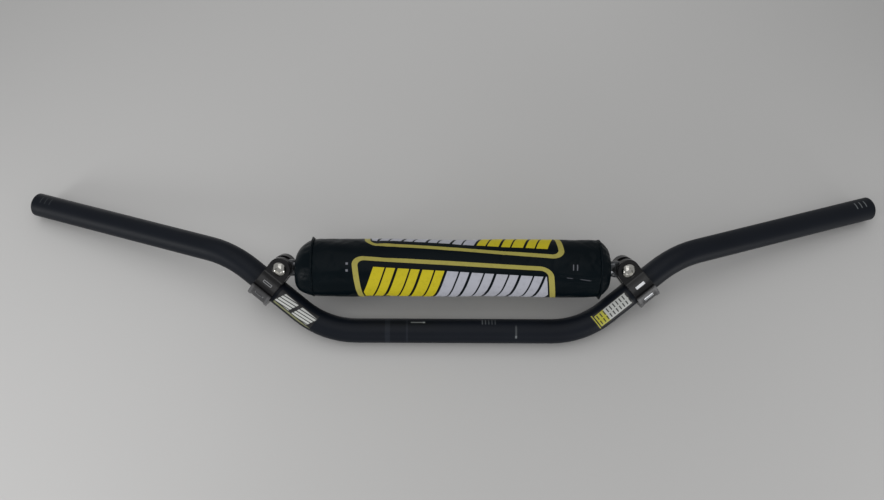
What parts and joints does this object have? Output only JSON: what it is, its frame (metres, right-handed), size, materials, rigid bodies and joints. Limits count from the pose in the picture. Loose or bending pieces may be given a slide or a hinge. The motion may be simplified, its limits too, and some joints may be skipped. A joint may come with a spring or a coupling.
{
  "type": "motocross handlebar",
  "caption": "Black motocross handlebar: one bent tube with a clamped-on crossbar inside a round padded sleeve, and thin labels on the uprights.",
  "frame": {"origin": "middle of the straight that the stem clamps hold, on the tube's axis", "axes": "+X along the centre of the bar to the right of the picture, +Z the way the bar rises, +Y the way the grips sweep back"},
  "size_m": [0.8134, 0.1037, 0.1348],
  "materials": {
    "black_anodised_aluminium": "satin",
    "dark_clamp_aluminium": "satin",
    "zinc_steel": "satin",
    "black_vinyl": "satin",
    "foam": "matte",
    "closure_tape": "matte",
    "label_film": "gloss"
  },
  "bodies": {
    "root": {"handlebar_tube": "black_anodised_aluminium", "crossbar": "black_anodised_aluminium", "clamp_front_right": "dark_clamp_aluminium", "clamp_front_left": "dark_clamp_aluminium", "clamp_rear_right": "dark_clamp_aluminium", "clamp_rear_left": "dark_clamp_aluminium", "clamp_bolt_right": "zinc_steel", "clamp_bolt_left": "zinc_steel", "clamp_nut_right": "zinc_steel", "clamp_nut_left": "zinc_steel", "pad_foam": "foam", "pad_cover": "black_vinyl", "pad_panel_left": "black_vinyl", "pad_panel_right": "black_vinyl", "pad_binding_left": "black_vinyl", "pad_binding_right": "black_vinyl", "pad_loop_strip": "closure_tape", "pad_hook_strip": "closure_tape", "label_right": "label_film", "label_left": "label_film"}
  },
  "joints": []
}
